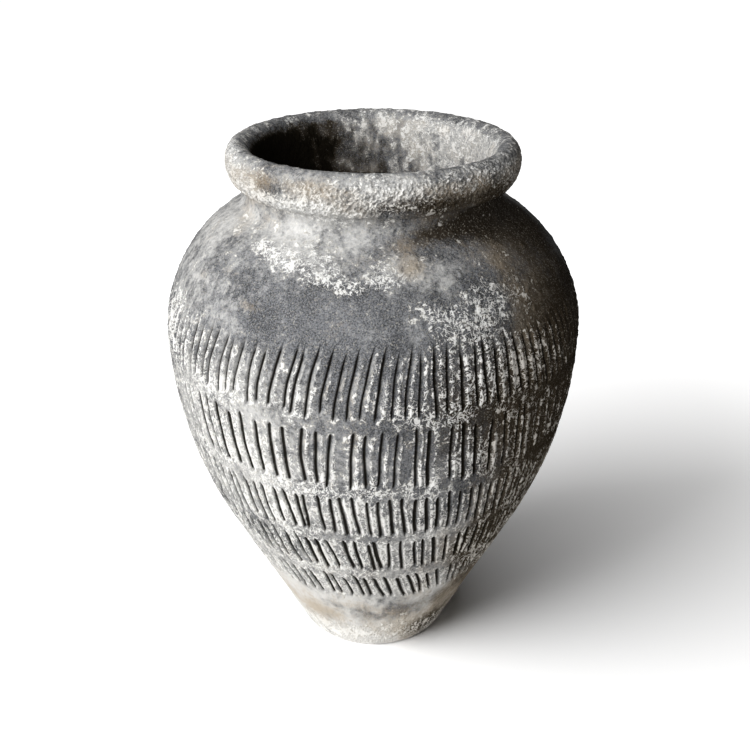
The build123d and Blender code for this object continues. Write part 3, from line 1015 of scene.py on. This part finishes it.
class NodeSheet:
    """Short ways to add and join the nodes of a shader."""

    def __init__(self, tree):
        self.tree = tree
        tree.nodes.clear()

    def add(self, kind, inputs=None, **settings):
        """A node of a kind, with its settings and inputs; an input is a value or another node's output."""
        node = self.tree.nodes.new(kind)
        for key, value in settings.items():
            setattr(node, key, value)
        for key, value in (inputs or {}).items():
            if isinstance(value, bpy.types.NodeSocket):
                self.tree.links.new(value, node.inputs[key])
            else:
                node.inputs[key].default_value = value
        return node

    def noise(self, where, scale, detail, roughness, distortion=0.0):
        """Noise from 0 to 1; scale counts its features in a metre."""
        wanted = {
            "Vector": where,
            "Scale": scale,
            "Detail": detail,
            "Roughness": roughness,
            "Distortion": distortion,
        }
        return self.add("ShaderNodeTexNoise", wanted).outputs["Fac"]

    def math(self, operation, first, second=0.0, third=0.0):
        """Arithmetic on one to three values."""
        return self.add("ShaderNodeMath", {0: first, 1: second, 2: third}, operation=operation).outputs[0]

    def span(self, value, low, high, to_low=0.0, to_high=1.0):
        """A value eased from one range to another, and held at its ends."""
        wanted = {"Value": value, "From Min": low, "From Max": high, "To Min": to_low, "To Max": to_high}
        return self.add("ShaderNodeMapRange", wanted, interpolation_type="SMOOTHSTEP").outputs["Result"]

    def mix(self, share, first, second):
        """Two colours, mixed."""
        node = self.add("ShaderNodeMix", {"Factor": share}, data_type="RGBA")
        for socket, colour in ((node.inputs[6], first), (node.inputs[7], second)):
            if isinstance(colour, bpy.types.NodeSocket):
                self.tree.links.new(colour, socket)
            else:
                socket.default_value = (*colour, 1)
        return node.outputs[2]

    def wear(self, name):
        """A wear value painted on the mesh."""
        return self.add("ShaderNodeAttribute", attribute_name=name).outputs["Fac"]

    def sway(self, value, *noises):
        """A value swayed to both sides by noises, each with the range of its sway."""
        for noise, amount in noises:
            value = self.math("MULTIPLY_ADD", self.math("SUBTRACT", noise, 0.5), amount, value)
        return value

    def coat(self, body, colour, start, full, share, level):
        """A colour laid on a body from one level on, and with its full share at another."""
        return self.mix(self.span(level, start, full, 0.0, share), body, colour)

    def seen(self):
        """1 for what the camera sees, straight or by way of a mirror or a pane."""
        rays = self.add("ShaderNodeLightPath").outputs
        seen = self.math("MAXIMUM", rays["Is Camera Ray"], rays["Is Glossy Ray"])
        return self.math("MAXIMUM", seen, rays["Is Transmission Ray"])


def clay_material(colours):
    """Aged clay: speckled grey body, pale wash, ochre stain, brown painted shade, strokes dark with dirt and
    painted shade, and a ragged lime crust; wash and crust also carry painted light and shade.
    """
    found = bpy.data.materials.get("weathered_clay")
    if found:
        return found
    material = bpy.data.materials.new("weathered_clay")
    material.use_nodes = True
    sheet = NodeSheet(material.node_tree)
    where = sheet.add("ShaderNodeTexCoord").outputs["Object"]
    axes = sheet.add("ShaderNodeSeparateXYZ", {"Vector": where}).outputs
    squeeze = sheet.math("MULTIPLY_ADD", axes["Z"], DRAWN_GAIN, DRAWN_SHARE)
    low = sheet.math("MULTIPLY", axes["Z"], squeeze)
    drawn = sheet.add("ShaderNodeCombineXYZ", {"X": axes["X"], "Y": axes["Y"], "Z": low}).outputs["Vector"]
    speckle = sheet.noise(where, scale=1300, detail=2, roughness=0.6)
    specks = sheet.noise(where, scale=1050, detail=1, roughness=0.5)
    fine = sheet.noise(drawn, scale=480, detail=4, roughness=0.60, distortion=0.3)
    middle = sheet.noise(drawn, scale=190, detail=3, roughness=0.55, distortion=0.3)
    cloud = sheet.noise(drawn, scale=48, detail=6, roughness=0.6)
    veins = sheet.noise(drawn, scale=330, detail=3, roughness=0.55, distortion=0.8)

    grain = sheet.sway(speckle, (cloud, 0.4))
    body = sheet.mix(sheet.span(grain, low=0.30, high=0.74), colours.clay_dark, colours.clay_pale)
    rough = sheet.span(axes["Z"], low=0.058, high=0.085, to_low=0.35)
    # The wash also paints light on the pot's lit left side and the throat's lit side.
    wash = sheet.sway(sheet.wear("wash"), (cloud, 0.7), (fine, rough), (middle, 0.9))
    body = sheet.coat(body, colours.wash, start=0.12, full=1.10, share=0.95, level=wash)
    ochre = sheet.sway(sheet.wear("ochre"), (cloud, 0.8), (fine, 0.6))
    body = sheet.coat(body, colours.ochre, start=0.22, full=0.75, share=0.65, level=ochre)
    # Painted shade in a brown stain's colour, on the pot's right side and in the throat.
    smoke = sheet.sway(sheet.wear("smoke"), (fine, 0.7), (middle, 0.5))
    body = sheet.coat(body, colours.smoke, start=0.15, full=0.95, share=0.93, level=smoke)
    body = sheet.coat(body, colours.crust_cream, start=0.58, full=0.70, share=0.34, level=specks)
    # Dirt and painted shade in the strokes, painted shade in the throat.
    soot = sheet.sway(sheet.wear("soot"), (fine, 0.6), (speckle, 0.8))
    body = sheet.coat(body, colours.soot, start=0.26, full=0.90, share=0.97, level=soot)

    ridge = sheet.math("ABSOLUTE", sheet.math("SUBTRACT", veins, 0.5))
    ridge = sheet.span(ridge, low=0.0, high=0.065, to_low=0.34, to_high=-0.17)
    # The crust carries painted light on the throat's lit side and the left foot, and painted shade where it
    # thins on the rim's right.
    webbed = sheet.span(sheet.wear("crust"), low=0.33, high=0.54)
    score = sheet.sway(sheet.wear("crust"), (fine, 0.85), (middle, 1.05), (cloud, 0.45))
    score = sheet.math("MULTIPLY_ADD", ridge, webbed, score)
    laid = sheet.span(score, low=LIME_START, high=0.56)
    fresh = sheet.span(score, low=LIME_START, high=0.63)
    lime = sheet.mix(fresh, colours.crust_cream, colours.crust_white)
    lime = sheet.coat(lime, colours.crust_cream, start=0.52, full=0.75, share=0.45, level=speckle)
    lime = sheet.coat(lime, colours.ochre, start=0.22, full=0.60, share=0.34, level=sheet.wear("ochre"))
    colour = sheet.mix(sheet.math("MULTIPLY", laid, LIME_COVER), body, lime)

    height = sheet.math("MULTIPLY_ADD", laid, LIME_BUMP, sheet.math("MULTIPLY", fine, FINE_BUMP))
    height = sheet.math("MULTIPLY_ADD", speckle, SPECKLE_BUMP, height)
    bump = sheet.add("ShaderNodeBump", {"Height": height, "Strength": 0.9, "Distance": 0.6 * MM})
    finish = {
        "Base Color": colour,
        "Roughness": sheet.span(laid, low=0.0, high=1.0, to_low=0.78, to_high=0.95),
        "Specular IOR Level": 0.0,
        "Normal": bump.outputs["Normal"],
    }
    shader = sheet.add("ShaderNodeBsdfPrincipled", finish).outputs["BSDF"]
    sheet.add("ShaderNodeOutputMaterial", {"Surface": shader})
    return material


def floor_material():
    """Pale floor: white to the camera where it is lit, with the pot's shadow, which a glow growing away from
    the pot paints lighter further off, and dull in what it returns.
    """
    material = bpy.data.materials.new("pale_floor")
    material.use_nodes = True
    sheet = NodeSheet(material.node_tree)
    where = sheet.add("ShaderNodeNewGeometry").outputs["Position"]
    distance = sheet.add("ShaderNodeVectorMath", {0: where}, operation="LENGTH").outputs["Value"]
    clear = sheet.math("MULTIPLY_ADD", distance, 1 / GLOW_RUN, -GLOW_START / GLOW_RUN)
    clear = sheet.math("MINIMUM", sheet.math("MAXIMUM", clear, 0.0), 1.0)
    glow = sheet.math("MULTIPLY", sheet.math("POWER", clear, GLOW_CURVE), GLOW)
    glow = sheet.math("ADD", glow, sheet.span(distance, *HORIZON, 0.0, HORIZON_GLOW))
    pale = sheet.add("ShaderNodeBsdfDiffuse", {"Color": WHITE}).outputs["BSDF"]
    light = sheet.add("ShaderNodeEmission", {"Color": WHITE, "Strength": glow}).outputs["Emission"]
    lit = sheet.add("ShaderNodeAddShader", {0: pale, 1: light}).outputs["Shader"]
    beside = sheet.add("ShaderNodeVectorMath", {0: where, 1: LIT_SPOT}, operation="DISTANCE")
    past = sheet.span(beside.outputs["Value"], *LIT_REACH)
    returned = sheet.mix(past, RETURNED_NEAR, RETURNED_FAR)
    dull = sheet.add("ShaderNodeBsdfDiffuse", {"Color": returned}).outputs["BSDF"]
    either = sheet.add("ShaderNodeMixShader", {"Fac": sheet.seen(), 1: dull, 2: lit}).outputs["Shader"]
    sheet.add("ShaderNodeOutputMaterial", {"Surface": either})
    return material


def lay_floor(context, reach):
    """A round floor that fills the view."""
    turns = np.arange(FLOOR_SIDES) * TURN / FLOOR_SIDES
    rim = [(reach * math.cos(turn), reach * math.sin(turn), 0) for turn in turns]
    mesh = bpy.data.meshes.new("floor")
    faces = [(0, 1 + side, 1 + (side + 1) % FLOOR_SIDES) for side in range(FLOOR_SIDES)]
    mesh.from_pydata([(0, 0, 0), *rim], [], faces)
    mesh.materials.append(floor_material())
    floor = bpy.data.objects.new("floor", mesh)
    context.scene.collection.objects.link(floor)


def light_world(context, fill):
    """World light: a soft fill on the pot, and white where it is seen."""
    world = bpy.data.worlds.new("studio")
    context.scene.world = world
    world.use_nodes = True
    sheet = NodeSheet(world.node_tree)
    soft = sheet.add("ShaderNodeBackground", {"Color": (*fill, 1), "Strength": 1.0}).outputs["Background"]
    white = sheet.add("ShaderNodeBackground", {"Color": WHITE, "Strength": 1.0}).outputs["Background"]
    either = sheet.add("ShaderNodeMixShader", {"Fac": sheet.seen(), 1: soft, 2: white}).outputs["Shader"]
    sheet.add("ShaderNodeOutputWorld", {"Surface": either})


def gather(name, names):
    """A collection of objects for a lamp to light."""
    collection = bpy.data.collections.new(name)
    for member in names:
        collection.objects.link(bpy.data.objects[member])
    return collection


def hang_lamp(context, name, power, size, place, target, lit):
    """A square soft lamp that looks at a point and lights one collection."""
    data = bpy.data.lights.new(name, "AREA")
    data.energy = power
    data.size = size
    lamp = bpy.data.objects.new(name, data)
    lamp.light_linking.receiver_collection = lit
    lamp.location = place
    lamp.rotation_euler = (target - place).to_track_quat("-Z", "Y").to_euler()
    context.scene.collection.objects.link(lamp)


class UrnOperator(bpy.types.Operator):
    """What the stage operators share"""

    bl_options = {"REGISTER", "UNDO"}

    def prepare(self, context):
        """The half section, the weathering and the stroke sizes."""
        self.section = PotSection(context.scene.urn_form)
        self.strokes = context.scene.urn_strokes
        self.weathering = Weathering(context.scene.urn_form, self.strokes)

    def make_stage(self, context, name, step, hollow_step=HOLLOW_STEP, bands=()):
        """One stage between its joints. The lowest has no joint under it and is closed to the axis."""
        section = self.section
        outside, inside = section.outside, section.inside
        low, high = JOINT[name], TOP_OF[name]
        lowest = name == STAGES[0]
        start = 0.0 if lowest else outside.where(low)
        end = inside.along[-1] if lowest else inside.where(low)
        weathering = self.weathering
        runs = [
            skin_rows("skin", outside, start, outside.where(high), step, weathering.outside, bands),
            joint_rows(section, high, 0.0, outward=False),
            skin_rows("hollow", inside, inside.where(high), end, hollow_step, weathering.inside),
        ]
        if not lowest:
            runs.append(joint_rows(section, low, context.scene.urn_form.lute_gap, outward=True))
        clay_piece(context, name, runs, closed=not lowest)


class URN_OT_base_disc(UrnOperator):
    """Make the slab that the pot stands on"""

    bl_idname = "urn.base_disc"
    bl_label = "Base Disc"

    def execute(self, context):
        self.prepare(context)
        self.make_stage(context, "base_disc", SKIN_STEP)
        return {"FINISHED"}


class URN_OT_plain_walls(UrnOperator):
    """Make the two walls without strokes: the cone above the slab and the domed shoulder"""

    bl_idname = "urn.plain_walls"
    bl_label = "Plain Walls"

    def execute(self, context):
        self.prepare(context)
        self.make_stage(context, "foot_wall", SKIN_STEP)
        self.make_stage(context, "shoulder_wall", SKIN_STEP)
        return {"FINISHED"}


class URN_OT_stroked_walls(UrnOperator):
    """Make the three walls with bands of incised strokes"""

    bl_idname = "urn.stroked_walls"
    bl_label = "Stroked Walls"

    def execute(self, context):
        self.prepare(context)
        sizes = self.strokes
        seed = context.scene.urn_form.seed
        tops = {0: TOP_OF["belly_wall"] - sizes.margin, 1: TOP_OF["middle_wall"] - sizes.margin}
        tops[2] = tops[1] - sizes.length[1] - sizes.strip
        tops[3] = TOP_OF["lower_wall"] - sizes.margin
        tops[4] = tops[3] - sizes.length[3] - sizes.strip
        bands = {number: StrokeBand(sizes, number, top, seed) for number, top in tops.items()}
        self.make_stage(context, "belly_wall", SKIN_STEP, bands=[bands[0]])
        self.make_stage(context, "middle_wall", SKIN_STEP, bands=[bands[1], bands[2]])
        self.make_stage(context, "lower_wall", SKIN_STEP, bands=[bands[3], bands[4]])
        return {"FINISHED"}


class URN_OT_neck_collar(UrnOperator):
    """Make the short neck with its cove"""

    bl_idname = "urn.neck_collar"
    bl_label = "Neck Collar"

    def execute(self, context):
        self.prepare(context)
        self.make_stage(context, "neck_collar", FINE_STEP, hollow_step=SKIN_STEP)
        return {"FINISHED"}


class URN_OT_rim_roll(UrnOperator):
    """Make the thick rolled coil round the mouth, outside and throat in one skin"""

    bl_idname = "urn.rim_roll"
    bl_label = "Rim Roll"

    def execute(self, context):
        self.prepare(context)
        section = self.section
        crest = section.outside.along[-1]
        low = JOINT["rim_roll"]
        start = section.outside.where(low)
        end = crest + section.inside.where(low)

        def finish(face):
            outer, outer_paint = self.weathering.outside(face)
            inner, inner_paint = self.weathering.inside(face)
            turned = ease(face.along, crest - CREST_BLEND[0], crest + CREST_BLEND[1])[:, None]
            paint = {key: outer_paint[key] + turned * (inner_paint[key] - outer_paint[key]) for key in PAINTS}
            return outer + turned * (inner - outer), paint

        skin = skin_rows("skin", section.rim, start, end, FINE_STEP, finish)
        bottom = joint_rows(section, low, context.scene.urn_form.lute_gap, outward=True)
        clay_piece(context, "rim_roll", [skin, bottom])
        return {"FINISHED"}


class URN_OT_stage(bpy.types.Operator):
    """Make the pale floor, the lamps and the camera"""

    bl_idname = "urn.stage"
    bl_label = "Stage"

    def execute(self, context):
        sizes = context.scene.urn_stage
        context.scene.view_settings.view_transform = "Standard"
        lay_floor(context, sizes.floor_reach)
        light_world(context, sizes.fill)
        middle = Vector((0, 0, CAD_HIGH.z / 2))
        pot = gather("pot", [f"{name}_clay" for name in STAGES])
        ground = gather("ground", ["floor"])
        for name, power, turn, rise in zip(LAMPS, sizes.lamp_powers, sizes.lamp_turns, sizes.lamp_rises):
            lit = ground if name == "floor_key" else pot
            flat = math.cos(rise)
            towards = Vector((-math.sin(turn) * flat, -math.cos(turn) * flat, math.sin(rise)))
            place = middle + towards * sizes.lamp_distance
            hang_lamp(context, name, power, sizes.lamp_size, place, middle, lit)
        data = bpy.data.cameras.new("camera")
        data.lens = sizes.lens
        camera = bpy.data.objects.new("camera", data)
        camera.location = (sizes.camera_side, -sizes.camera_distance, sizes.camera_height)
        camera.rotation_euler = (math.pi / 2 - sizes.camera_dip, 0, 0)
        context.scene.collection.objects.link(camera)
        context.scene.camera = camera
        return {"FINISHED"}


class URN_PT_pieces(bpy.types.Panel):
    """Sizes, colours and the operators that make the pieces"""

    bl_idname = "URN_PT_pieces"
    bl_label = "Aged Urn Vase"
    bl_space_type = "VIEW_3D"
    bl_region_type = "UI"
    bl_category = "Urn"

    def draw(self, context):
        layout = self.layout
        for operator in OPERATORS:
            layout.operator(operator.bl_idname)
        for group in GROUPS:
            box = layout.box()
            for key in GROUPS[group].__annotations__:
                box.prop(getattr(context.scene, group), key)


GROUPS = {
    "urn_form": UrnFormSizes,
    "urn_strokes": UrnStrokeSizes,
    "urn_clay": UrnClayColours,
    "urn_stage": UrnStageSizes,
}
OPERATORS = (
    URN_OT_base_disc,
    URN_OT_plain_walls,
    URN_OT_stroked_walls,
    URN_OT_neck_collar,
    URN_OT_rim_roll,
    URN_OT_stage,
)


def register():
    for made in (*GROUPS.values(), *OPERATORS, URN_PT_pieces):
        bpy.utils.register_class(made)
    for name, group in GROUPS.items():
        setattr(bpy.types.Scene, name, PointerProperty(type=group))


def unregister():
    for name in GROUPS:
        delattr(bpy.types.Scene, name)
    for made in (URN_PT_pieces, *reversed(OPERATORS), *reversed(GROUPS.values())):
        bpy.utils.unregister_class(made)


def main():
    register()
    bpy.ops.urn.base_disc()
    bpy.ops.urn.plain_walls()
    bpy.ops.urn.stroked_walls()
    bpy.ops.urn.neck_collar()
    bpy.ops.urn.rim_roll()
    bpy.ops.urn.stage()


if __name__ == "__main__":
    main()
